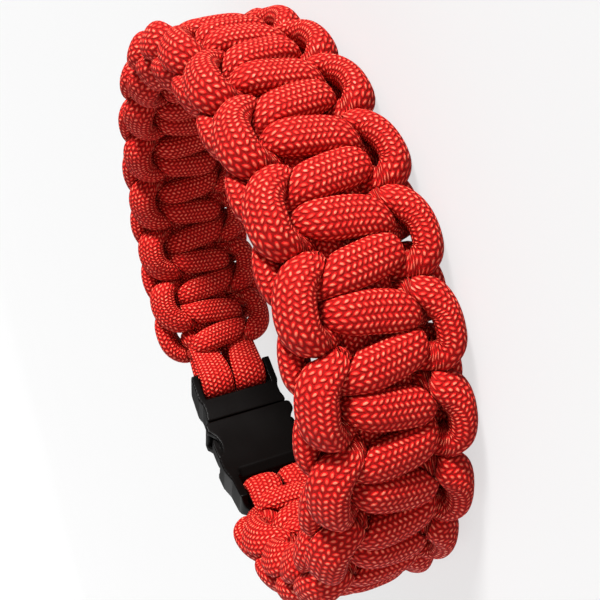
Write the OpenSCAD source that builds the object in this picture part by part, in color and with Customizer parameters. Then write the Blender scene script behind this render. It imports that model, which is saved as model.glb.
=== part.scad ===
// Paracord bracelet, closed by a side-release buckle and lying on its side.
// The ring's axis is +Z, the middle of its foot is the origin, and the buckle's middle is on -Y.
// Along the band, s runs from the point opposite the buckle, with +s towards +X.
// Across the band, v runs up from its middle; through the band, d runs out from its middle.

/* [Ring] */
// Long diameter of the oval that runs through the middle of the band
ring_long = 86; // [78:0.5:94]
// Short diameter of that oval, which passes through the buckle
ring_short = 78; // [72:0.5:84]

/* [Band] */
// Width of the woven band over its side bumps
band_w = 23.4; // [21.4:0.2:25.4]
// Thickness of the woven band over its bars
band_t = 9.25; // [8:0.25:10]
// Number of half knots in the woven band
knot_count = 40; // [34:2:46]
// Width of the cord where it lies as a bar across the band
bar_w = 5; // [4.4:0.1:5.4]
// Angle between a bar and the square way across the band
bar_slant = 11; // [0:1:14]
// Depth of the valley between two bars
bar_valley = 1.7; // [0.8:0.1:2]
// Depth of the notch between two side bumps
bump_notch = 2.6; // [1.5:0.1:3.2]

/* [Cord loops at the buckle] */
// Width of the cord where it is pressed flat round a strap bar
loop_w = 6.4; // [5:0.1:6.5]
// Thickness of the cord where it is pressed flat round a strap bar
loop_t = 2.8; // [2.4:0.1:3.2]
// Gap between the two loops on one strap bar
loop_gap = 0.3; // [0.2:0.1:0.6]
// Bare stretch of cord between the plug's strap bar and the band
plug_reach = 5.8; // [4:0.1:8]
// Bare stretch of cord between the socket's strap bar and the band
socket_reach = 2.8; // [2.4:0.1:6]

/* [Buckle] */
// Length of the buckle between the two strap slots
body_len = 19.5; // [18:0.25:24]
// Width of the socket at its mouth
body_w = 17.6; // [17:0.1:19]
// Width of the buckle at the strap bars
strap_end_w = 16.4; // [16.2:0.1:17]
// Width of the plug's shoulder between its strap slot and the socket
shoulder_w = 15.4; // [14:0.1:16]
// Thickness of the buckle on the wrist's side of its middle
inner_t = 3; // [2.8:0.1:3.4]
// Thickness of the buckle on the outer side of its middle
outer_t = 3.6; // [3.2:0.1:4]
// Radius of the crowned outer face
crown_r = 36; // [32:1:44]
// Diameter of a strap bar
strap_bar_d = 2.6; // [2.2:0.1:3]
// Length of the socket's mouth past the buckle's middle
mouth_len = 4.2; // [3.6:0.1:4.8]
// Radius of the finger notch in each side of the socket
notch_r = 4.2; // [3.6:0.1:4.6]
// Depth of the finger notch in each side of the socket
notch_depth = 1.5; // [1.2:0.1:2]
// Length over which the socket narrows to its strap end
taper_len = 2.6; // [2:0.1:3.4]
// Wall of the socket round the plug's prongs
socket_wall = 1.2; // [1:0.1:1.4]
// Length of the bevel that leads from the socket's wrist face down into its strap slot
slot_bevel = 1.6; // [1:0.1:1.9]
// Width of each side prong's spring arm
arm_w = 1.8; // [1.4:0.1:2.2]
// Wall of the socket between the prongs' tips and the strap slot
end_wall = 2; // [1.6:0.1:2.6]
// Depth of the barb that holds each side prong in the socket
barb_depth = 0.8; // [0.5:0.1:1]
// Width of the guide tongue between the prongs
tongue_w = 3; // [2:0.1:3.6]

/* [Clearances] */
// Play between the plug and the socket
buckle_play = 0.2; // [0.15:0.05:0.3]
// Gap between a cord loop and what it lies against
cord_play = 0.1; // [0.1:0.05:0.25]

/* [Hidden] */
$fn = 64;
face_fn = 160;
// Sinks one solid into its own neighbour, so that the two are one piece
sink = 0.01;

ring_a = ring_long / 2;
ring_b = ring_short / 2;
mid_z = band_w / 2;
// The buckle follows the oval's own curve where it crosses the short diameter
buckle_r = ring_a * ring_a / ring_b;

// Table of the oval: distance along it, and the angle of that point
oval_steps = 360;
function oval_step(i) = norm([ring_a * (sin(i + 1) - sin(i)), ring_b * (cos(i + 1) - cos(i))]);
oval_half = [for (i = 0, s = 0; i <= oval_steps / 2; s = s + oval_step(i), i = i + 1) [s, i]];
half_way = oval_half[oval_steps / 2][0];
function oval_angle(s) = sign(s) * lookup(abs(s), oval_half);

function unit(p) = p / norm(p);
// Point at s along the ring, v up from the band's middle and d out from it
function ring_point(s, v, d) =
    let (t = oval_angle(s), n = unit([ring_b * sin(t), ring_a * cos(t)]))
    [ring_a * sin(t) + d * n.x, ring_b * cos(t) + d * n.y, mid_z + v];

// Places along the buckle, from its middle towards the socket's end
slot_len = loop_t + 2 * cord_play;
bar_at = body_len / 2 + slot_len + strap_bar_d / 2;
buckle_half = bar_at + strap_bar_d / 2;
slot_w = 2 * loop_w + loop_gap + 4 * cord_play;
// Height of what is drawn or cut right through the curved buckle
through_h = 8 * outer_t;

// The woven stretch starts past the plug's loops and ends before the socket's
weave_start = -half_way + bar_at + plug_reach;
weave_end = half_way - bar_at - socket_reach;
weave_len = weave_end - weave_start;
pitch = weave_len / knot_count;

// Half section of the band from its edge to its middle, as shares of half its width and thickness,
// with the share of a point's height that follows the side bumps and not the bars
section_rows = [
    // across, through, bump
    [0.88, 0.00, 1.0],
    [1.00, 0.48, 1.0],
    [0.94, 0.86, 1.0],
    [0.74, 1.00, 0.9],
    [0.52, 0.70, 0.3],
    [0.34, 0.98, 0.0],
    [0.11, 1.00, 0.0]
];
row_count = len(section_rows);
// The whole section, once round: each entry holds the row and the signs of v and d
section_turn = concat(
    [[0, 1, 0]],
    [for (i = [1 : row_count - 1]) [i, 1, 1]],
    [for (i = [row_count - 1 : -1 : 1]) [i, -1, 1]],
    [[0, -1, 0]],
    [for (i = [1 : row_count - 1]) [i, -1, -1]],
    [for (i = [row_count - 1 : -1 : 1]) [i, 1, -1]]
);

// Height of a round cord's top at distance x from its middle line, from 0 to 1
function arch(x, half) = sqrt(max(0, 1 - pow(x / half, 2)));
// Bars: one for each half knot, slanting the other way from one to the next and on the inner face
function bar_height(s, v, face) =
    let (k = floor((s - weave_start) / pitch), lean = face * v * tan(bar_slant))
    max([for (i = [max(k - 1, 0) : min(k + 1, knot_count - 1)])
        arch(s - weave_start - (i + 0.5) * pitch - (i % 2 == 0 ? lean : -lean), bar_w / 2)]);
// Half the length of a side bump, in half knots: a little over one, so that two bumps meet in a notch
bump_reach = 1.06;
// Side bumps: one for each two half knots, staggered from edge to edge and from face to face
function bump_height(s, edge, face) =
    let (x = (s - weave_start) / pitch - (edge * face > 0 ? 1 : 2))
    arch(x - 2 * round(x / 2), bump_reach);
// At the seam between the faces the higher of the two bumps counts
function bump_at(s, edge, face) =
    face == 0 ? max(bump_height(s, edge, 1), bump_height(s, edge, -1)) : bump_height(s, edge, face);

// The weave closes in at both ends, as the outermost knots do: over a share of a half knot, down to
// a share of its thickness and another of its width
end_round = 0.45 * pitch;
end_share = 0.55;
end_width_share = 0.3;
function end_size(s) =
    let (e = min(s - weave_start, weave_end - s) / end_round)
    e >= 1 ? 1 : end_share + (1 - end_share) * sqrt(1 - pow(1 - e, 2));

steps_a_knot = 5;
weave_steps = knot_count * steps_a_knot;
function station(i) = weave_start + weave_len * i / weave_steps;
// Extra sections close the two rounded ends
end_stations = [0, 0.12, 0.45];
weave_stations = concat(
    [for (e = end_stations) weave_start + e * weave_len / weave_steps],
    [for (i = [1 : weave_steps - 1]) station(i)],
    [for (i = [len(end_stations) - 1 : -1 : 0]) weave_end - end_stations[i] * weave_len / weave_steps]
);

function band_point(s, turn) =
    let (row = section_rows[turn[0]],
         v0 = turn[1] * row[0] * band_w / 2,
         bump = bump_at(s, turn[1], turn[2]),
         face = turn[2] == 0 ? 1 : turn[2],
         rise = row[2] * bump + (1 - row[2]) * bar_height(s, v0, face),
         size = end_size(s),
         v = v0 - turn[1] * row[2] * bump_notch * (1 - bump),
         d = turn[2] * row[1] * (band_t / 2 - bar_valley * (1 - rise)))
    ring_point(s, v * (end_width_share + (1 - end_width_share) * size), d * size);

// Closed skin over rings of points that run along a path
module skin(rings) {
    m = len(rings[0]);
    n = len(rings);
    points = [for (ring = rings) for (p = ring) p];
    sides = [for (i = [0 : n - 2]) for (j = [0 : m - 1])
        let (a = i * m + j, b = i * m + (j + 1) % m)
        each [[a, b, b + m], [a, b + m, a + m]]];
    caps = [[for (j = [m - 1 : -1 : 0]) j], [for (j = [0 : m - 1]) (n - 1) * m + j]];
    polyhedron(points = points, faces = concat(sides, caps), convexity = 10);
}

// One solid for the whole weave: two working strands tied round two core strands
module woven_band() {
    color("firebrick")
    skin([for (s = weave_stations) [for (turn = section_turn) band_point(s, turn)]]);
}

// A loop leaves the band, turns round a strap bar through the slot and comes back.
// Its rows give the share of the bare stretch, or the angle of the turn, for each ring of points
loop_sides = 10;
turn_r = strap_bar_d / 2 + cord_play + loop_t / 2;
turn_steps = 8;
band_side_d = band_t / 2 - loop_t / 2 - bar_valley / 2;
loop_straights = [0, 0.35, 0.7];
// Distance from the strap bar towards the band, distance out from the middle, and way the cord runs
function loop_path(reach) = concat(
    [for (q = loop_straights) let (x = (1 - q) * reach)
        [x, turn_r + (band_side_d - turn_r) * (1 - q), 180]],
    [for (i = [0 : turn_steps]) let (t = 180 * i / turn_steps)
        [-turn_r * sin(t), turn_r * cos(t), 180 + t]],
    [for (i = [len(loop_straights) - 1 : -1 : 0]) let (x = (1 - loop_straights[i]) * reach)
        [x, -turn_r - (band_side_d - turn_r) * (1 - loop_straights[i]), 360]]
);
module cord_loop(end, side, reach) {
    path = loop_path(reach - cord_play);
    v_mid = side * (loop_w + loop_gap) / 2;
    color("firebrick")
    skin([for (p = path)
        [for (j = [0 : loop_sides - 1])
            let (a = end * 360 * j / loop_sides,
                 out = loop_t / 2 * sin(a),
                 x = p[0] + out * sin(p[2]),
                 d = p[1] - out * cos(p[2]))
            ring_point(end * (half_way - bar_at - x), v_mid + loop_w / 2 * cos(a), d)]]);
}

// Puts things at a place along the buckle: +X towards the socket's end, +Y out, +Z up, at the mid line
module at_buckle(u) {
    translate([0, buckle_r - ring_b, mid_z])
    rotate([0, 0, u / buckle_r * 180 / PI])
    translate([0, -buckle_r, 0])
    mirror([0, 1, 0])
    children();
}

// Rounds a corner of an outline: p is the corner, a the point before it and b the point after it
corner_steps = 5;
function round_corner(a, p, b, r) =
    let (u = unit(a - p), w = unit(b - p), half = acos(u * w) / 2,
         c = p + unit(u + w) * r / sin(half),
         from = p + u * r / tan(half) - c,
         to = p + w * r / tan(half) - c,
         a0 = atan2(from.y, from.x),
         turn = (atan2(to.y, to.x) - a0 + 540) % 360 - 180)
    [for (i = [0 : corner_steps])
        let (t = a0 + turn * i / corner_steps)
        c + r * [cos(t), sin(t)]];
// Closed outline from corners with a radius each: rows of [x, z, radius]
function rounded(rows) =
    let (n = len(rows))
    [for (i = [0 : n - 1])
        let (a = rows[(i + n - 1) % n], p = rows[i], b = rows[(i + 1) % n])
        each (p[2] > 0 ? round_corner([a.x, a.y], [p.x, p.y], [b.x, b.y], p[2]) : [[p.x, p.y]])];
// The same outline on both sides of the buckle's long middle line
function both_sides(rows) =
    concat(rows, [for (i = [len(rows) - 1 : -1 : 0]) [rows[i].x, -rows[i].y, rows[i][2]]]);

// Straight-through prism of an outline drawn along the buckle, in place
module buckle_prism(rows) {
    translate([0, -ring_b, mid_z])
    rotate([90, 0, 0])
    linear_extrude(height = through_h, center = true)
    polygon(rounded(both_sides(rows)));
}
// Curved plate between two distances from the mid line, both following the ring
module curved_plate(d_in, d_out) {
    translate([0, buckle_r - ring_b, mid_z])
    difference() {
        cylinder(r = buckle_r + d_out, h = 2 * body_w, center = true, $fn = face_fn);
        cylinder(r = buckle_r + d_in, h = 2 * body_w + 2, center = true, $fn = face_fn);
    }
}
// The buckle's whole thickness: the wrist's face follows the ring and the outer face is crowned
module buckle_slab() {
    intersection() {
        curved_plate(-inner_t, 2 * outer_t);
        translate([0, crown_r - outer_t - ring_b, mid_z])
        cylinder(r = crown_r, h = 2 * body_w, center = true, $fn = face_fn);
    }
}
// Slot for the cord loops, open past the buckle's end, and the round strap bar that closes it
slot_cut = slot_len + 2 * strap_bar_d;
module strap_slot(end) {
    at_buckle(end * (body_len + slot_len) / 2)
    translate([end * (slot_cut - slot_len) / 2, 0, 0])
    cube([slot_cut, through_h, slot_w], center = true);
}
// Everything past the buckle's end, which lies square to the ring
module past_end(end) {
    at_buckle(end * buckle_half)
    translate([end * slot_cut / 2, 0, 0])
    cube([slot_cut, through_h, 2 * body_w], center = true);
}
module strap_bar(end) {
    at_buckle(end * bar_at)
    cylinder(d = strap_bar_d, h = slot_w + 2 * sink, center = true);
}

// Bevel on the wrist's side, a little narrower than the strap slot: it runs on past the slot's edge,
// and its far end stands clear of the face
bevel_angle = 35;
bevel_w = slot_w - 1;
module slot_bevel_cut(end) {
    back = 2 * slot_bevel;
    drop = tan(bevel_angle);
    at_buckle(end * body_len / 2)
    translate([0, -inner_t, -bevel_w / 2])
    linear_extrude(height = bevel_w)
    polygon([
        [-end * back, (slot_bevel - back) * drop],
        [end * slot_len / 2, (slot_bevel + slot_len / 2) * drop],
        [end * slot_len / 2, -inner_t],
        [-end * back, -inner_t]
    ]);
}

// The pocket that takes the prongs: its side walls are thicker than its faces, by side_extra, and its
// outer wall sits crown_drop lower, because the crowned face falls away towards the edges
side_extra = 0.6;
crown_drop = 0.4;
pocket_w = body_w - 2 * (socket_wall + side_extra);
pocket_end = body_len / 2 - end_wall;
pocket_in = inner_t - socket_wall;
pocket_out = outer_t - socket_wall - crown_drop;
prong_in = pocket_in - buckle_play;
prong_out = pocket_out - buckle_play;
notch_at = mouth_len / 4;
notch_z = body_w / 2 + notch_r - notch_depth;
// Length of the window in each notch, through which a press pad shows
window_len = 2 * notch_r - 1.4;
// How far the plug's arms and the pocket run on past the mouth, into the solid shoulder
mouth_over = 1;

module buckle_socket() {
    color([0.06, 0.06, 0.065]) {
        difference() {
            intersection() {
                buckle_slab();
                buckle_prism([
                    [-mouth_len, body_w / 2, 1],
                    [body_len / 2 - taper_len, body_w / 2, 3],
                    [body_len / 2, strap_end_w / 2, 2],
                    [buckle_half, strap_end_w / 2, 1.6]
                ]);
            }
            intersection() {
                curved_plate(-pocket_in, pocket_out);
                buckle_prism([[-mouth_len - mouth_over, pocket_w / 2, 0], [pocket_end, pocket_w / 2, 0.6]]);
            }
            for (side = [-1, 1])
                translate([notch_at, -ring_b, mid_z + side * notch_z])
                rotate([90, 0, 0])
                cylinder(r = notch_r, h = through_h, center = true);
            for (side = [-1, 1])
                intersection() {
                    curved_plate(-pocket_in, pocket_out);
                    translate([notch_at, -ring_b, mid_z + side * body_w / 2])
                    cube([window_len, through_h, 2 * (socket_wall + side_extra) + 1], center = true);
                }
            strap_slot(1);
            slot_bevel_cut(1);
            past_end(1);
        }
        strap_bar(1);
    }
}

// One side prong: a spring arm, a barbed tip, and a press pad that stands in the finger notch, where
// pad_in is how far it stays inside the socket's side and pad_slope the run of its slanted ends
arm_z = pocket_w / 2 - buckle_play;
pad_in = 0.4;
pad_slope = 0.6;
pad_z = body_w / 2 - pad_in;
pad_half = window_len / 2 - 0.3;
tip_at = pocket_end - 1;
module side_prong(side) {
    rows = [
        [-mouth_len - mouth_over, arm_z - arm_w, 0],
        [tip_at, arm_z - arm_w - barb_depth, 0.5],
        [tip_at, arm_z - 1.5 * barb_depth, 0.5],
        [notch_at + pad_half, arm_z - barb_depth / 4, 0.4],
        [notch_at + pad_half - pad_slope, pad_z, 1],
        [notch_at - pad_half + 2 * pad_slope, pad_z, 1.2],
        [notch_at - pad_half, arm_z, 0.6],
        [-mouth_len - mouth_over, arm_z, 0]
    ];
    translate([0, -ring_b, mid_z])
    rotate([90, 0, 0])
    linear_extrude(height = through_h, center = true)
    polygon([for (p = rounded(rows)) [p.x, side * p.y]]);
}

// The plug narrows behind its strap slot, by steps of waist_gap, and flares to the socket's mouth
waist_gap = 0.6;
flare_len = 2.2;
module buckle_plug() {
    color([0.06, 0.06, 0.065]) {
        difference() {
            intersection() {
                buckle_slab();
                buckle_prism([
                    [-buckle_half, strap_end_w / 2, 1.6],
                    [-body_len / 2 + waist_gap, strap_end_w / 2, 1.4],
                    [-body_len / 2 + 3 * waist_gap, shoulder_w / 2, 2],
                    [-mouth_len - flare_len, shoulder_w / 2, 1],
                    [-mouth_len - buckle_play, body_w / 2 - side_extra, 0.4]
                ]);
            }
            strap_slot(-1);
            past_end(-1);
        }
        intersection() {
            curved_plate(-prong_in, prong_out);
            union() {
                for (side = [-1, 1]) side_prong(side);
                buckle_prism([[-mouth_len - mouth_over, tongue_w / 2, 0], [tip_at - 1, tongue_w / 2, 0.8]]);
            }
        }
        strap_bar(-1);
    }
}

woven_band();
cord_loop(-1, 1, plug_reach);  // plug_loop_upper
cord_loop(-1, -1, plug_reach);  // plug_loop_lower
cord_loop(1, 1, socket_reach);  // socket_loop_upper
cord_loop(1, -1, socket_reach);  // socket_loop_lower
buckle_plug();
buckle_socket();
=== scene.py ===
"""Paracord bracelet in cobra stitch with a side-release buckle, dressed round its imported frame.

All cord is laid out in band coordinates: v goes up from the band's middle, s along the ring from the
point opposite the buckle, and d out from the band's middle. Lengths are in metres.
"""

import math

import bmesh
import bpy
import numpy as np
from bpy.props import FloatProperty, FloatVectorProperty, IntProperty, PointerProperty
from bpy.types import Operator, Panel, PropertyGroup
from mathutils import Matrix, Vector


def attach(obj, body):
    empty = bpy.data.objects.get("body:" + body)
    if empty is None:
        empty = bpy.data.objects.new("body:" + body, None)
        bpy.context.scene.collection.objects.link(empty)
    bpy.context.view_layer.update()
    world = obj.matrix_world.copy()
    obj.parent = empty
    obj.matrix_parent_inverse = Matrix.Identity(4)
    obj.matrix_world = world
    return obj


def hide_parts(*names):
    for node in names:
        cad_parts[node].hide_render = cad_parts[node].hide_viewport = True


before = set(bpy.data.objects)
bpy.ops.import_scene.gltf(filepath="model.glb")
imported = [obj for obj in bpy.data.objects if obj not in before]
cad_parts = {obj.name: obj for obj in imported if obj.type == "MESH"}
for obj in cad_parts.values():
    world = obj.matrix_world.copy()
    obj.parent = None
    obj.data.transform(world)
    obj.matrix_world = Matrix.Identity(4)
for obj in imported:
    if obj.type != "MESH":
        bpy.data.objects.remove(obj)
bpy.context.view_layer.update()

bl_info = {
    "name": "Paracord Bracelet",
    "version": (1, 0, 0),
    "blender": (4, 5, 0),
    "location": "3D View > Sidebar > Bracelet",
    "description": "A bracelet of braided cord in cobra stitch, closed by a side-release buckle",
    "category": "Add Mesh",
}

MM = 0.001
BODY = "root"
BRAID_UV = "Braid"


def length(name, description, default):
    """A size in metres that the panel shows as a distance."""
    return FloatProperty(
        name=name,
        description=description,
        default=default,
        min=0.0,
        subtype="DISTANCE",
        unit="LENGTH",
        precision=5,
    )


def count(name, description, default, least):
    """A whole number of things."""
    return IntProperty(name=name, description=description, default=default, min=least)


def colour(name, description, default):
    """A colour that the panel shows as a swatch."""
    return FloatVectorProperty(
        name=name,
        description=description,
        default=default,
        size=3,
        min=0.0,
        max=1.0,
        subtype="COLOR",
    )


class RingSizes(PropertyGroup):
    """The oval ring, the woven band on it and where the buckle's strap bars stand."""

    long_diameter: length("Long diameter", "Long diameter of the oval in the band's middle", 86 * MM)
    short_diameter: length("Short diameter", "Diameter of that oval through the buckle", 78 * MM)
    band_width: length("Band width", "Width of the band over its side bumps", 23.4 * MM)
    band_thickness: length("Band thickness", "Thickness of the band over its bars", 9.25 * MM)
    half_knots: count("Half knots", "Number of half knots in the band", 40, 2)
    plug_bare: length("Bare cord at the plug", "From the plug's strap bar to the weave", 5.8 * MM)
    socket_bare: length("Bare cord at the socket", "From the socket's strap bar to the weave", 2.8 * MM)
    bar_place: length("Strap bar's place", "From the buckle's middle to each strap bar", 14.05 * MM)
    bar_diameter: length("Strap bar's diameter", "Diameter of a strap bar", 2.6 * MM)


class CordSizes(PropertyGroup):
    """The braided cord and how far it flattens."""

    diameter: length("Cord", "Diameter of the cord before it is pulled tight", 4.0 * MM)
    loop_width: length("Loop width", "Width of the flattened cord round a strap bar", 6.4 * MM)
    loop_thickness: length("Loop thickness", "Thickness of that flattened cord", 2.8 * MM)
    loop_gap: length("Loop gap", "Gap between the two loops on a strap bar", 0.3 * MM)
    play: length("Play", "Gap between a loop and the strap bar", 0.1 * MM)
    grain_rows: count("Rows of the braid", "Rows of grains round the cord", 18, 4)
    grain_length: length("Grain length", "Length of one grain of the braid along the cord", 0.7 * MM)


class Finishes(PropertyGroup):
    """Colours of the cord, with its painted highlight and painted shade, the buckle and the floor."""

    # Painted highlight: a pale orange laid into the colour on the tops of the grains, where they would
    # catch the light
    cord_painted_highlight: colour("Cord, crests", "Where a grain catches the light", (1.0, 0.24, 0.14))
    cord_body: colour("Cord, body", "The cord's own colour", (0.72, 0.003, 0.005))
    # Painted shade: a dark red for the low ground between the grains, where shade would fall
    cord_painted_shade: colour("Cord, valleys", "Between the grains of the braid", (0.26, 0.0, 0.002))
    cord_sheen: colour("Cord, sheen", "Tint of what the cord's threads reflect", (1.0, 0.5, 0.34))
    buckle_black: colour("Buckle", "The buckle's moulded plastic", (0.0016, 0.0010, 0.0008))
    floor_grey: colour("Floor", "Floor and backdrop, which glow up to white", (0.25, 0.25, 0.25))


class Ring:
    """The oval through the band's middle, measured along its own length.

    Its points are (a sin t, b cos t). The distance s adds up short chords from t = 0, opposite the
    buckle, and the angle for a given s is read back from that table, which goes a little further
    than half a turn each way.
    """

    TABLE_END = 1.2 * math.pi
    TABLE_POINTS = 4801

    def __init__(self, sizes):
        self.a = sizes.long_diameter / 2
        self.b = sizes.short_diameter / 2
        self.middle = sizes.band_width / 2
        self.t = np.linspace(-self.TABLE_END, self.TABLE_END, self.TABLE_POINTS)
        chords = np.hypot(np.diff(self.a * np.sin(self.t)), np.diff(self.b * np.cos(self.t)))
        run = np.concatenate([[0.0], np.cumsum(chords)])
        self.s = run - np.interp(0.0, self.t, run)
        self.half = np.interp(math.pi, self.t, self.s)

    def place(self, points):
        """Turns band coordinates into places: the oval's point at s, out by d along its normal,
        up by v."""
        v, s, d = np.moveaxis(points, -1, 0)
        t = np.interp(s, self.s, self.t)
        normal = np.stack([self.b * np.sin(t), self.a * np.cos(t)])
        normal = normal / np.linalg.norm(normal, axis=0)
        x = self.a * np.sin(t) + d * normal[0]
        y = self.b * np.cos(t) + d * normal[1]
        return np.stack([x, y, self.middle + v], axis=-1)


def weave(scene):
    """The ring, where the weave starts along it, and the length of one half knot."""
    sizes = scene.bracelet_ring
    ring = Ring(sizes)
    start = -ring.half + sizes.bar_place + sizes.plug_bare
    end = ring.half - sizes.bar_place - sizes.socket_bare
    return ring, start, (end - start) / sizes.half_knots


def spline(handles, steps):
    """Uniform cubic B-spline over rows of handles.

    Each point is the mean of four handles next to each other, weighted by (1 - t)^3,
    3 t^3 - 6 t^2 + 4, 3 t + 3 t^2 - 3 t^3 + 1 and t^3, where t is the share of the step.
    """
    t = np.linspace(0.0, 1.0, steps, endpoint=False)[:, None]
    parts = [(1 - t) ** 3, 3 * t**3 - 6 * t**2 + 4, 3 * t + 3 * t**2 - 3 * t**3 + 1, t**3]
    weights = np.concatenate(parts, axis=1) / 6
    four = np.stack([handles[:-3], handles[1:-2], handles[2:-1], handles[3:]], axis=1)
    return np.einsum("tw,hwc->htc", weights, four).reshape(-1, handles.shape[1])


def unit(vectors):
    """The same directions with a length of one."""
    return vectors / np.linalg.norm(vectors, axis=-1, keepdims=True)


def sweep(centres, outward, half_side, half_deep, sides):
    """A full oval carried along a path: centre + c(a) half_side S + s(a) half_deep N, where c and s
    are the cosine and the sine with their size to the power 0.85, which fills the oval's corners a
    little. It returns the rings of points and the distance along the path.

    N is the outward direction less its part along the path, and S is square to both. Both ends close
    like a thimble: within a half thickness of an end the oval shrinks by sqrt(1 - (1 - e)^2), where e
    is the way to the end over the half thickness.
    """
    fullness, least_square = 0.85, 0.01
    tangent = unit(np.gradient(centres, axis=0))
    normal = unit(outward - tangent * np.sum(outward * tangent, axis=1, keepdims=True))
    side = np.cross(tangent, normal)
    run = np.concatenate([[0.0], np.cumsum(np.linalg.norm(np.diff(centres, axis=0), axis=1))])
    to_end = np.minimum(run, run[-1] - run) / half_deep
    close = np.sqrt(np.clip(1 - (1 - np.minimum(to_end, 1.0)) ** 2, least_square, 1.0))
    angle = np.linspace(0.0, 2 * math.pi, sides, endpoint=False)
    full = np.stack([np.cos(angle), np.sin(angle)])
    full = np.sign(full) * np.abs(full) ** fullness
    across = (half_side * close)[:, None, None] * side[:, None, :] * full[0][None, :, None]
    through = (half_deep * close)[:, None, None] * normal[:, None, :] * full[1][None, :, None]
    return centres[:, None, :] + across + through, run


def press(skin, own, run, others, others_run, gap, reach, skip=0.0):
    """Flattens a cord where it meets another: no point goes further than half way from its own centre
    line to the nearest point of the other one, less half the gap, so the two meet in a flat.

    The other one counts as far as reach along the band. Where it is the same cord, the stretch up to
    skip along it doesn't count, and is taken as a metre further off than it is.
    """
    rings_at_once, far_off = 48, 1.0
    for first in range(0, len(skin), rings_at_once):
        rings = slice(first, first + rings_at_once)
        points = skin[rings]
        centres = own[rings][:, None, :]
        close = np.abs(others[:, 1] - centres[..., 1].mean()) < reach
        near = others[close]
        apart = np.linalg.norm(points[:, :, None, :] - near[None, None, :, :], axis=-1)
        skipped = np.abs(run[rings][:, None] - others_run[close][None, :]) < skip
        apart += far_off * skipped[:, None, :]
        way = near[apart.argmin(axis=-1)] - centres
        distance = np.linalg.norm(way, axis=-1, keepdims=True)
        way = way / distance
        past = np.sum((points - centres) * way, axis=-1, keepdims=True) - (distance - gap) / 2
        past = np.where(apart.min(axis=-1)[..., None] < far_off, past, 0.0)
        skin[rings] = points - np.maximum(past, 0.0) * way
    return skin


def ring_faces(rings, sides):
    """Faces with four corners between each ring of points and the next one."""
    i = np.arange(rings - 1)[:, None]
    j = np.arange(sides)[None, :]
    k = (j + 1) % sides
    corners = [i * sides + j, i * sides + k, (i + 1) * sides + k, (i + 1) * sides + j]
    return np.stack(corners, axis=-1).reshape(-1, 4)


def smooth_object(name, points, faces, finish):
    """A smooth-shaded object of one material from points and faces."""
    if not np.isfinite(points).all():
        raise ValueError(f"{name} has a point that isn't a number")
    mesh = bpy.data.meshes.new(name)
    mesh.from_pydata(points.tolist(), [], faces)
    mesh.polygons.foreach_set("use_smooth", np.ones(len(mesh.polygons), bool))
    mesh.update()
    mesh.materials.append(finish)
    made = bpy.data.objects.new(name, mesh)
    bpy.context.scene.collection.objects.link(made)
    return made


def tube_object(name, skin, run, finish):
    """A closed tube from rings of points, with a fan at each end and faces that point outwards."""
    rings, sides = skin.shape[:2]
    points = np.concatenate([skin.reshape(-1, 3), skin[[0, -1]].mean(axis=1)])
    quads = ring_faces(rings, sides)
    j = np.arange(sides)
    k = (j + 1) % sides
    last = (rings - 1) * sides
    start_fan = np.stack([k, j, np.full(sides, rings * sides)], axis=-1)
    end_fan = np.stack([last + j, last + k, np.full(sides, rings * sides + 1)], axis=-1)
    corners = points[quads]
    volume = np.sum(corners[:, 0] * np.cross(corners[:, 1], corners[:, 2]))
    volume += np.sum(corners[:, 0] * np.cross(corners[:, 2], corners[:, 3]))
    if volume < 0:
        quads, start_fan, end_fan = quads[:, ::-1], start_fan[:, ::-1], end_fan[:, ::-1]
    faces = quads.tolist() + start_fan.tolist() + end_fan.tolist()
    piece = smooth_object(name, points, faces, finish)
    map_braid(piece.data, skin, run, len(quads))
    return piece


def map_braid(mesh, skin, run, quad_count):
    """Gives a tube the map that its braid follows: the share of the way round the cord, and the
    distance along it in metres. A face with corners in both the last and the first quarter of the way
    round crosses the seam, and goes on past 1."""
    quarter = 0.25
    chords = np.linalg.norm(np.roll(skin, -1, axis=1) - skin, axis=-1)
    turn = (np.cumsum(chords, axis=1) - chords) / chords.sum(axis=1, keepdims=True)
    turn = np.concatenate([turn.ravel(), [0.5, 0.5]])
    along = np.concatenate([np.repeat(run, skin.shape[1]), run[[0, -1]]])
    loops = np.empty(len(mesh.loops), np.int32)
    mesh.loops.foreach_get("vertex_index", loops)
    u, w = turn[loops], along[loops]
    four = u[: quad_count * 4].reshape(-1, 4)
    four[(four.max(axis=1, keepdims=True) > 1 - quarter) & (four < quarter)] += 1.0
    layer = mesh.uv_layers.new(name=BRAID_UV)
    layer.data.foreach_set("uv", np.stack([u, w], axis=-1).ravel())


def dress(piece, slot, *nodes):
    """Puts a piece on the bracelet's body, in place of the plain solids that it stands for."""
    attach(piece, BODY)
    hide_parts(*nodes)


def lay_cord(name, ring, skin, run, node):
    """Bends a cord from band coordinates round the ring and puts it in place of its solid."""
    piece = tube_object(name, ring.place(skin), run, material("cord"))
    dress(piece, "cord", node)


class Wire:
    """An output of a shader tree. Arithmetic on it adds Math nodes, so a formula reads as written."""

    def __init__(self, shader, socket):
        self.shader = shader
        self.socket = socket

    def other(self, name):
        """Another output of the same node."""
        return Wire(self.shader, self.socket.node.outputs[name])

    def math(self, operation, *values):
        return self.shader.node("ShaderNodeMath", {"operation": operation}, dict(enumerate(values)))

    def __add__(self, other):
        return self.math("ADD", self, other)

    __radd__ = __add__

    def __sub__(self, other):
        return self.math("SUBTRACT", self, other)

    def __rsub__(self, other):
        return self.math("SUBTRACT", other, self)

    def __mul__(self, other):
        return self.math("MULTIPLY", self, other)

    __rmul__ = __mul__

    def __truediv__(self, other):
        return self.math("DIVIDE", self, other)

    def __rtruediv__(self, other):
        return self.math("DIVIDE", other, self)

    def __mod__(self, other):
        return self.math("MODULO", self, other)

    def __rmod__(self, other):
        return self.math("MODULO", other, self)

    def floor(self):
        return self.math("FLOOR", self)

    def clamp(self):
        return self.math("MINIMUM", self.math("MAXIMUM", self, 0.0), 1.0)


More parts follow.
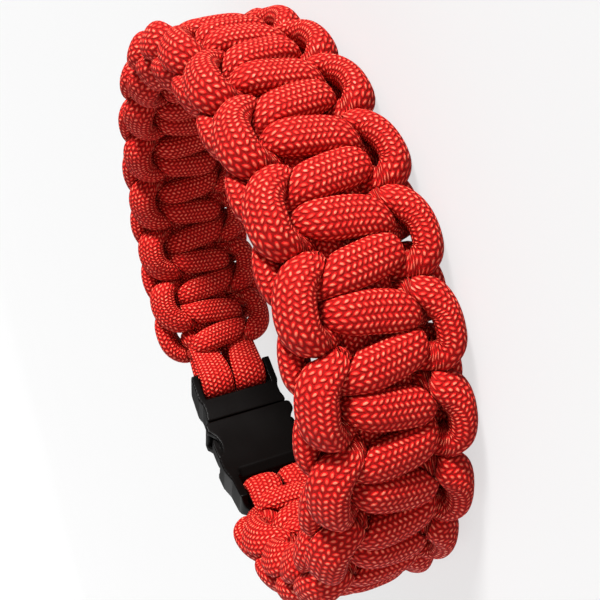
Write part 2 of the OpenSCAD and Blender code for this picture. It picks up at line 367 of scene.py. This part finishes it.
class Shader:
    """A material with a Principled shader, whose other nodes all come from node()."""

    # A Mix node gives its sockets for numbers, vectors and colours the same names, so the ones for
    # colours go by number
    MIX_FACTOR, MIX_LOW, MIX_HIGH, MIX_RESULT = 0, 6, 7, 2

    def __init__(self, name):
        self.material = bpy.data.materials.new(name)
        self.material.use_nodes = True
        self.tree = self.material.node_tree
        self.surface = next(n for n in self.tree.nodes if n.type == "BSDF_PRINCIPLED")

    def node(self, kind, settings, inputs, output=0):
        """Adds a node of a type, makes its settings, gives its sockets values or links, and returns
        an output."""
        made = self.tree.nodes.new(kind)
        for name, value in settings.items():
            setattr(made, name, value)
        for key, value in inputs.items():
            self.feed(made.inputs[key], value)
        return Wire(self, made.outputs[output])

    def feed(self, socket, value):
        if isinstance(value, Wire):
            self.tree.links.new(value.socket, socket)
        else:
            socket.default_value = value

    def mix(self, factor, low, high):
        """The colour that lies between two others by a factor."""
        inputs = {self.MIX_FACTOR: factor, self.MIX_LOW: low, self.MIX_HIGH: high}
        return self.node("ShaderNodeMix", {"data_type": "RGBA"}, inputs, self.MIX_RESULT)

    def noise(self, scale, detail=2.0):
        """Cloudy noise on the piece's own coordinates, with scale as its patches to the metre."""
        place = self.node("ShaderNodeTexCoord", {}, {}, "Object")
        return self.node("ShaderNodeTexNoise", {}, {"Vector": place, "Scale": scale, "Detail": detail})

    def bump(self, height, relief, strength):
        """The surface's normals for a height map whose relief is in metres."""
        inputs = {"Strength": strength, "Distance": relief, "Height": height}
        return self.node("ShaderNodeBump", {}, inputs)

    def set(self, **values):
        """Sets the shader's own sockets, whose names have underscores for spaces here."""
        for name, value in values.items():
            self.feed(self.surface.inputs[name.replace("_", " ")], value)


def rgba(rgb):
    """A colour with full cover."""
    return (*rgb, 1.0)


def cord_material(cord, finish):
    """Braided nylon sheath: grains lie in rows along the cord, like bricks, and every other row leans
    the other way.

    In a grain's own cell x goes from -1/2 to 1/2 across the row and y along it. The grain's height is
    1 - 4.2 x^2 - 5.6 y^2 where that is above 0, with y shifted by half a grain from row to row and by
    a share of x. Only the tops of the grains shine, each by its own luck and in soft patches: they are
    glossier and carry a coat, and a painted highlight is laid into their colour. The low ground between
    the grains is painted shade, a darker red in the colour.
    """
    lean, relief = 0.45, 0.26 * MM
    fall_across, fall_along = 4.2, 5.6
    body_height, crest_height, crest_rise = 0.4, 0.58, 0.3
    least_luck, luck_share = 0.24, 0.8
    least_patch, patch_share, patch_scale = 0.4, 0.8, 260.0
    shader = Shader("braided_cord")
    braid_map = shader.node("ShaderNodeUVMap", {"uv_map": BRAID_UV}, {})
    turn = shader.node("ShaderNodeSeparateXYZ", {}, {"Vector": braid_map})
    along = turn.other("Y")
    row = turn * float(cord.grain_rows)
    cell = row.floor()
    odd = cell % 2.0
    x = row - cell - 0.5
    grain = along / cord.grain_length + odd * 0.5 + (odd * 2.0 - 1.0) * x * lean
    number = grain.floor()
    y = grain - number - 0.5
    height = (1.0 - x * x * fall_across - y * y * fall_along).clamp()
    key = shader.node("ShaderNodeCombineXYZ", {}, {"X": cell, "Y": number})
    luck = shader.node("ShaderNodeTexWhiteNoise", {"noise_dimensions": "2D"}, {"Vector": key})
    patch = shader.noise(patch_scale)
    # The tops of the grains: they get a painted highlight in the colour, a lower roughness and a coat
    gloss_and_painted_highlight = ((height - crest_height) / crest_rise).clamp()
    gloss_and_painted_highlight = gloss_and_painted_highlight * (luck * luck_share + least_luck) * (patch * patch_share + least_patch)
    gloss_and_painted_highlight = gloss_and_painted_highlight.clamp()
    # Painted shade: the colour darkens from the body's red to the valleys' dark red as the grain's
    # height falls
    body = (height / body_height).clamp()
    tone = shader.mix(body, rgba(finish.cord_painted_shade), rgba(finish.cord_body))
    # Painted highlight laid over that on the tops of the grains
    tone = shader.mix(gloss_and_painted_highlight, tone, rgba(finish.cord_painted_highlight))
    shader.set(
        Base_Color=tone,
        Roughness=0.85 - gloss_and_painted_highlight * 0.5,
        Normal=shader.bump(height, relief, 1.0),
        Specular_IOR_Level=0.4,
        Specular_Tint=rgba(finish.cord_sheen),
        Coat_Weight=gloss_and_painted_highlight * 0.25,
        Coat_Roughness=0.4,
    )
    return shader.material


def buckle_material(finish):
    """Moulded acetal: black, matt from a fine grain, with broad patches a little smoother."""
    shader = Shader("moulded_plastic")
    grain = shader.noise(9000.0, detail=3.0)
    patch = shader.noise(180.0)
    shader.set(
        Base_Color=rgba(finish.buckle_black),
        Roughness=0.26 + patch * 0.14 + grain * 0.06,
        Normal=shader.bump(grain, 0.02 * MM, 0.5),
        Specular_IOR_Level=0.06,
    )
    return shader.material


MATERIALS = {}


def material(name):
    """The cord's or the buckle's material, made once."""
    if name not in MATERIALS:
        scene = bpy.context.scene
        makers = {
            "cord": lambda: cord_material(scene.bracelet_cord, scene.bracelet_finish),
            "buckle": lambda: buckle_material(scene.bracelet_finish),
        }
        MATERIALS[name] = makers[name]()
    return MATERIALS[name]


# The columns of the three tables are the place across the band as a share of half its width, the
# place along it in half knots, the place through it as a share of half its thickness, and the cord's
# half width and half thickness there as shares of its radius. This table takes one strand from the
# middle of a bar, round the side bump that follows it, to the middle of the next bar.
STRAND_ROWS = np.array([
    # across, along, through, wide, thick
    [0.00, 0.00, 0.62, 1.27, 0.92],
    [0.21, -0.07, 0.62, 1.25, 0.92],
    [0.36, -0.13, 0.52, 1.10, 0.88],
    [0.42, -0.18, 0.16, 0.86, 0.80],
    [0.43, -0.20, -0.18, 0.84, 0.82],
    [0.48, -0.20, -0.44, 0.95, 0.92],
    [0.64, -0.10, -0.54, 1.20, 0.92],
    [0.76, 0.18, -0.52, 1.38, 0.92],
    [0.80, 0.50, -0.50, 1.46, 0.92],
    [0.805, 0.80, -0.50, 1.46, 0.92],
    [0.785, 1.08, -0.48, 1.38, 0.92],
    [0.68, 1.27, -0.38, 1.14, 0.94],
    [0.50, 1.29, -0.10, 0.90, 0.88],
    [0.43, 1.22, 0.18, 0.86, 0.82],
    [0.36, 1.13, 0.52, 1.10, 0.88],
    [0.21, 1.07, 0.62, 1.25, 0.92],
])
# How the strand comes out of the weave beside the first bar
STRAND_HEAD = np.array([
    # across, along, through, wide, thick
    [0.34, -0.28, -0.04, 0.4, 0.5],
    [0.38, -0.12, -0.08, 0.6, 0.7],
    [0.46, 0.10, -0.12, 0.8, 0.9],
])
# How it goes back into the weave beside the last bar, with the place along counted from that bar
STRAND_TAIL = np.array([
    # across, along, through, wide, thick
    [0.40, -0.08, -0.14, 0.8, 0.8],
    [0.36, 0.06, -0.08, 0.6, 0.6],
    [0.34, 0.18, -0.04, 0.4, 0.5],
])
# Rows of the whole band that the head and the tail take the place of
ROWS_BEFORE, ROWS_AFTER = 12, 11
# How far the maker's hand usually shifts a handle across, along and through the band, in the
# tables' own shares
HAND_SHIFT = (0.004, 0.012, 0.008)
HAND_SEED = 7
STEPS_PER_HANDLE = 5


def strand_handles(half_knots):
    """The strand's handles over the whole band: the table once for each half knot, with every other
    half knot mirrored across the band, shifted a little by hand, between a head and a tail."""
    rows = np.tile(STRAND_ROWS, (half_knots + 1, 1))
    number = np.repeat(np.arange(-1, half_knots), len(STRAND_ROWS))
    rows[:, 0] *= np.where(number % 2 == 0, -1.0, 1.0)
    rows[:, 1] += number
    rows[:, :3] += np.random.default_rng(HAND_SEED).normal(0.0, 1.0, (len(rows), 3)) * HAND_SHIFT
    tail = STRAND_TAIL.copy()
    tail[:, 0] *= 1.0 if half_knots % 2 == 0 else -1.0
    tail[:, 1] += half_knots - 1
    rows = rows[ROWS_BEFORE:-ROWS_AFTER]
    return np.concatenate([STRAND_HEAD[:1], STRAND_HEAD, rows, tail, tail[-1:]])


def strand_path(scene, start, knot):
    """The first working strand: its centre line in band coordinates, its half widths and its half
    thicknesses."""
    sizes, radius = scene.bracelet_ring, scene.bracelet_cord.diameter / 2
    line = spline(strand_handles(sizes.half_knots), STEPS_PER_HANDLE)
    v = line[:, 0] * sizes.band_width / 2
    s = start + (line[:, 1] + 0.5) * knot
    d = line[:, 2] * sizes.band_thickness / 2
    return np.stack([v, s, d], axis=-1), line[:, 3] * radius, line[:, 4] * radius


class BRACELET_OT_working_strands(Operator):
    """Tie the two working strands, each with its bars on one face and its side bumps on the other"""

    bl_idname = "bracelet.working_strands"
    bl_label = "Working strands"
    bl_options = {"REGISTER", "UNDO"}

    # The second strand is the first one turned half way round the line along the band's middle
    HALF_TURN = (-1.0, 1.0, -1.0)
    # A strand's broad face looks away from the band's middle line, mostly through the band
    FACING = (0.4, 0.0, 1.0)
    SIDES = 28
    GAP = 0.04 * MM
    REACH_IN_KNOTS = 2
    SKIP_IN_DIAMETERS = 2.2

    def execute(self, context):
        ring, start, knot = weave(context.scene)
        first, wide, thick = strand_path(context.scene, start, knot)
        second = first * self.HALF_TURN
        reach = self.REACH_IN_KNOTS * knot
        skip = self.SKIP_IN_DIAMETERS * context.scene.bracelet_cord.diameter
        for name, own, other in (("outer", first, second), ("inner", second, first)):
            skin, run = sweep(own, own * self.FACING, wide, thick, self.SIDES)
            skin = press(skin, own, run, own, run, self.GAP, reach, skip)
            skin = press(skin, own, run, other, run, self.GAP, reach)
            lay_cord(f"working_strand_{name}", ring, skin, run, "woven_band")
        return {"FINISHED"}


class BRACELET_OT_core_strands(Operator):
    """Lay the two straight core strands that the half knots are tied round"""

    bl_idname = "bracelet.core_strands"
    bl_label = "Core strands"
    bl_options = {"REGISTER", "UNDO"}

    # Shares of the cord's diameter
    PLACE, HALF_WIDTH, HALF_THICKNESS = 0.48, 0.55, 0.34
    # How far the core stops inside the weave, in half knots
    INSET = 0.1
    POINTS, SIDES = 500, 20

    def execute(self, context):
        ring, start, knot = weave(context.scene)
        diameter = context.scene.bracelet_cord.diameter
        last = context.scene.bracelet_ring.half_knots - self.INSET
        s = np.linspace(start + self.INSET * knot, start + last * knot, self.POINTS)
        outward = np.tile([0.0, 0.0, 1.0], (self.POINTS, 1))
        wide = np.full(self.POINTS, self.HALF_WIDTH * diameter)
        thick = np.full(self.POINTS, self.HALF_THICKNESS * diameter)
        for name, side in (("upper", 1.0), ("lower", -1.0)):
            v = np.full(self.POINTS, side * self.PLACE * diameter)
            centres = np.stack([v, s, np.zeros(self.POINTS)], axis=-1)
            skin, run = sweep(centres, outward, wide, thick, self.SIDES)
            lay_cord(f"core_strand_{name}", ring, skin, run, "woven_band")
        return {"FINISHED"}


def loop_line(turn_radius, bare):
    """One loop seen from its side: x is the way from the strap bar towards the weave, d the place
    through the band, and ease how far the cord has left the weave, from 0 to 1.

    A leg goes straight in x, and in d from its depth in the weave to the turn's radius by the share
    q^2 (3 - 2 q). The turn is a half circle round the bar, and the other leg mirrors the first.
    """
    tuck, tuck_depth = 3.6 * MM, 1.0 * MM
    leg_points, turn_points = 40, 41
    q = np.linspace(0.0, 1.0, leg_points)
    leg_x = (1 - q) * (bare + tuck)
    leg_ease = q * q * (3 - 2 * q)
    leg_d = tuck_depth + (turn_radius - tuck_depth) * leg_ease
    a = np.linspace(0.0, math.pi, turn_points)[1:-1]
    x = np.concatenate([leg_x, -turn_radius * np.sin(a), leg_x[::-1]])
    d = np.concatenate([leg_d, turn_radius * np.cos(a), -leg_d[::-1]])
    ease = np.concatenate([leg_ease, np.ones_like(a), leg_ease[::-1]])
    return x, d, ease


class BRACELET_OT_buckle_loops(Operator):
    """Turn the cord round the strap bars, two loops on each, with their legs tucked into the weave"""

    bl_idname = "bracelet.buckle_loops"
    bl_label = "Cord loops"
    bl_options = {"REGISTER", "UNDO"}

    # What is left of the cord's width and thickness where the weave squeezes it
    SQUEEZED_WIDTH, SQUEEZED_THICKNESS = 0.78, 0.75
    SIDES = 32

    def execute(self, context):
        sizes = context.scene.bracelet_ring
        self.loops("plug", -1.0, sizes.plug_bare, context.scene)
        self.loops("socket", 1.0, sizes.socket_bare, context.scene)
        return {"FINISHED"}

    def loops(self, end_name, end, bare, scene):
        """The two loops at one end, whose legs are as wide as at the bar on the outer face and
        narrower on the wrist's face, where the weave takes them in."""
        sizes, cord = scene.bracelet_ring, scene.bracelet_cord
        ring = Ring(sizes)
        turn_radius = sizes.bar_diameter / 2 + cord.play + cord.loop_thickness / 2
        x, d, ease = loop_line(turn_radius, bare)
        narrow = np.where(d < 0, ease, 1.0)
        wide = cord.loop_width / 2 * (self.SQUEEZED_WIDTH + (1 - self.SQUEEZED_WIDTH) * narrow)
        share = self.SQUEEZED_THICKNESS + (1 - self.SQUEEZED_THICKNESS) * ease
        thick = cord.loop_thickness / 2 * share
        s = end * (ring.half - sizes.bar_place - x)
        outward = np.stack([np.zeros_like(d), end * (x < 0) * -x, d], axis=-1)
        for side_name, side in (("upper", 1.0), ("lower", -1.0)):
            v = side * (cord.loop_width + cord.loop_gap / 2 - wide)
            skin, run = sweep(np.stack([v, s, d], axis=-1), outward, wide, thick, self.SIDES)
            name = f"{end_name}_cord_loop_{side_name}"
            lay_cord(name, ring, skin, run, f"{end_name}_loop_{side_name}")


class BRACELET_OT_buckle(Operator):
    """Finish the two halves of the buckle with the rounded edges of a moulding"""

    bl_idname = "bracelet.buckle"
    bl_label = "Buckle"
    bl_options = {"REGISTER", "UNDO"}

    MERGE_DISTANCE = 0.002 * MM
    VOXEL = 0.17 * MM
    SOFTEN_SHARE, SOFTEN_ROUNDS = 0.5, 6

    def execute(self, context):
        for node in ("buckle_plug", "buckle_socket"):
            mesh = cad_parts[node].data.copy()
            mesh.name = f"moulded_{node}"
            shape = bmesh.new()
            shape.from_mesh(mesh)
            bmesh.ops.remove_doubles(shape, verts=shape.verts, dist=self.MERGE_DISTANCE)
            shape.to_mesh(mesh)
            shape.free()
            mesh.materials.clear()
            mesh.materials.append(material("buckle"))
            piece = bpy.data.objects.new(f"moulded_{node}", mesh)
            context.scene.collection.objects.link(piece)
            fuse = piece.modifiers.new("Fuse", "REMESH")
            fuse.mode = "VOXEL"
            fuse.voxel_size = self.VOXEL
            fuse.use_smooth_shade = True
            soften = piece.modifiers.new("Soften", "SMOOTH")
            soften.factor = self.SOFTEN_SHARE
            soften.iterations = self.SOFTEN_ROUNDS
            dress(piece, "buckle", node)
        return {"FINISHED"}


class BRACELET_OT_stage(Operator):
    """Set the pale floor with its backdrop, the soft lights and the camera"""

    bl_idname = "bracelet.stage"
    bl_label = "Stage"
    bl_options = {"REGISTER", "UNDO"}

    FLOOR_RADIUS, BACKDROP_RADIUS, BACKDROP_HEIGHT = 2.5, 4.5, 1.0
    HAZE, HAZE_SCALE = 0.985, 3.0
    FLOOR_GLOW = 2.6
    WORLD_LIGHT = 0.26
    # The way to each light, how many degrees across it looks from the bracelet, and its strength
    LIGHTS = {
        "key_light": ((-0.32, 0.88, 0.25), 12.0, 6.9),
        "fill_light": ((0.85, 0.45, 0.10), 70.0, 1.0),
        "back_light": ((0.35, -0.90, 0.35), 90.0, 1.6),
    }
    # The camera looks at a point near the ring's middle from a distance, a compass angle from +X and
    # a height angle. It is then rolled about its line of sight, because the photo shows the bracelet
    # on edge.
    CAMERA_AIM = (2.51 * MM, 1.17 * MM, 6.61 * MM)
    CAMERA_DISTANCE = 145.7 * MM
    CAMERA_COMPASS, CAMERA_HEIGHT, CAMERA_ROLL = 50.69, 18.4, 104.48
    CAMERA_LENS = 54.29

    def execute(self, context):
        scene = context.scene
        self.bowl(scene.bracelet_finish.floor_grey)
        for name, (way, spread, strength) in self.LIGHTS.items():
            self.sun(name, way, spread, strength)
        world = bpy.data.worlds.new("studio")
        world.use_nodes = True
        background = world.node_tree.nodes["Background"]
        background.inputs["Color"].default_value = (1.0, 1.0, 1.0, 1.0)
        background.inputs["Strength"].default_value = self.WORLD_LIGHT
        scene.world = world
        scene.view_settings.view_transform = "Standard"
        data = bpy.data.cameras.new("camera")
        data.lens = self.CAMERA_LENS
        data.clip_start, data.clip_end = 0.01, 20.0
        camera = bpy.data.objects.new("camera", data)
        camera.matrix_world = self.camera_turn()
        scene.collection.objects.link(camera)
        scene.camera = camera
        return {"FINISHED"}

    def bowl(self, grey):
        """Floor and backdrop in one: flat within a radius, then rising like 1 - cos towards its
        edge. It glows softly and neither shades the bracelet nor shows in it."""
        shader = Shader("studio_floor")
        hazy = rgba([c * self.HAZE for c in grey])
        tone = shader.mix(shader.noise(self.HAZE_SCALE), hazy, rgba(grey))
        shader.set(
            Base_Color=tone,
            Roughness=0.9,
            Emission_Color=tone,
            Emission_Strength=self.FLOOR_GLOW,
        )
        sides, middle = 96, 0.001
        flat = np.linspace(self.FLOOR_RADIUS * 0.1, self.FLOOR_RADIUS, 20)
        rise = np.linspace(self.FLOOR_RADIUS, self.BACKDROP_RADIUS, 40)[1:]
        r = np.concatenate([[middle], flat, rise])
        climb = (r - self.FLOOR_RADIUS) / (self.BACKDROP_RADIUS - self.FLOOR_RADIUS)
        z = self.BACKDROP_HEIGHT * (1 - np.cos(np.clip(climb, 0.0, 1.0) * math.pi / 2))
        a = np.linspace(0.0, 2 * math.pi, sides, endpoint=False)
        x, y = r[:, None] * np.cos(a), r[:, None] * np.sin(a)
        points = np.stack([x, y, np.repeat(z[:, None], sides, axis=1)], axis=-1)
        faces = ring_faces(len(r), sides)[:, ::-1].tolist() + [list(range(sides))]
        bowl = smooth_object("studio_floor", points.reshape(-1, 3), faces, shader.material)
        bowl.visible_shadow = False
        bowl.visible_diffuse = False
        bowl.visible_glossy = False

    def camera_turn(self):
        """The camera's matrix: back is the way from the aim to the camera, level lies flat, and right
        and up are level and its partner turned about back."""
        angles = (self.CAMERA_COMPASS, self.CAMERA_HEIGHT, self.CAMERA_ROLL)
        compass, height, roll = (math.radians(a) for a in angles)
        flat = math.cos(height)
        back = Vector((flat * math.cos(compass), flat * math.sin(compass), math.sin(height)))
        level = Vector((-math.sin(compass), math.cos(compass), 0.0))
        rise = back.cross(level)
        right = math.cos(roll) * level - math.sin(roll) * rise
        up = math.sin(roll) * level + math.cos(roll) * rise
        place = Vector(self.CAMERA_AIM) + self.CAMERA_DISTANCE * back
        return Matrix.Translation(place) @ Matrix((right, up, back)).transposed().to_4x4()

    @staticmethod
    def sun(name, way, spread, strength):
        """A light from far off, soft as its spread in degrees is wide."""
        data = bpy.data.lights.new(name, "SUN")
        data.angle = math.radians(spread)
        data.energy = strength
        lamp = bpy.data.objects.new(name, data)
        lamp.location = way
        lamp.rotation_euler = (-Vector(way)).to_track_quat("-Z", "Y").to_euler()
        bpy.context.scene.collection.objects.link(lamp)


class BRACELET_PT_panel(Panel):
    """Lists the bracelet's sizes, colours and makers"""

    bl_idname = "BRACELET_PT_panel"
    bl_label = "Paracord bracelet"
    bl_space_type = "VIEW_3D"
    bl_region_type = "UI"
    bl_category = "Bracelet"

    def draw(self, context):
        for group in GROUPS:
            box = self.layout.box()
            sizes = getattr(context.scene, group)
            for name in sizes.__annotations__:
                box.prop(sizes, name)
        for maker in MAKERS:
            self.layout.operator(maker.bl_idname)


GROUPS = {"bracelet_ring": RingSizes, "bracelet_cord": CordSizes, "bracelet_finish": Finishes}
MAKERS = (
    BRACELET_OT_working_strands,
    BRACELET_OT_core_strands,
    BRACELET_OT_buckle_loops,
    BRACELET_OT_buckle,
    BRACELET_OT_stage,
)


def register():
    for item in (*GROUPS.values(), *MAKERS, BRACELET_PT_panel):
        bpy.utils.register_class(item)
    for name, group in GROUPS.items():
        setattr(bpy.types.Scene, name, PointerProperty(type=group))


def unregister():
    for name in GROUPS:
        delattr(bpy.types.Scene, name)
    for item in (BRACELET_PT_panel, *reversed(MAKERS), *reversed(tuple(GROUPS.values()))):
        bpy.utils.unregister_class(item)


def main():
    """Makes every piece and the stage."""
    register()
    bpy.ops.bracelet.working_strands()
    bpy.ops.bracelet.core_strands()
    bpy.ops.bracelet.buckle_loops()
    bpy.ops.bracelet.buckle()
    bpy.ops.bracelet.stage()


if __name__ == "__main__":
    main()
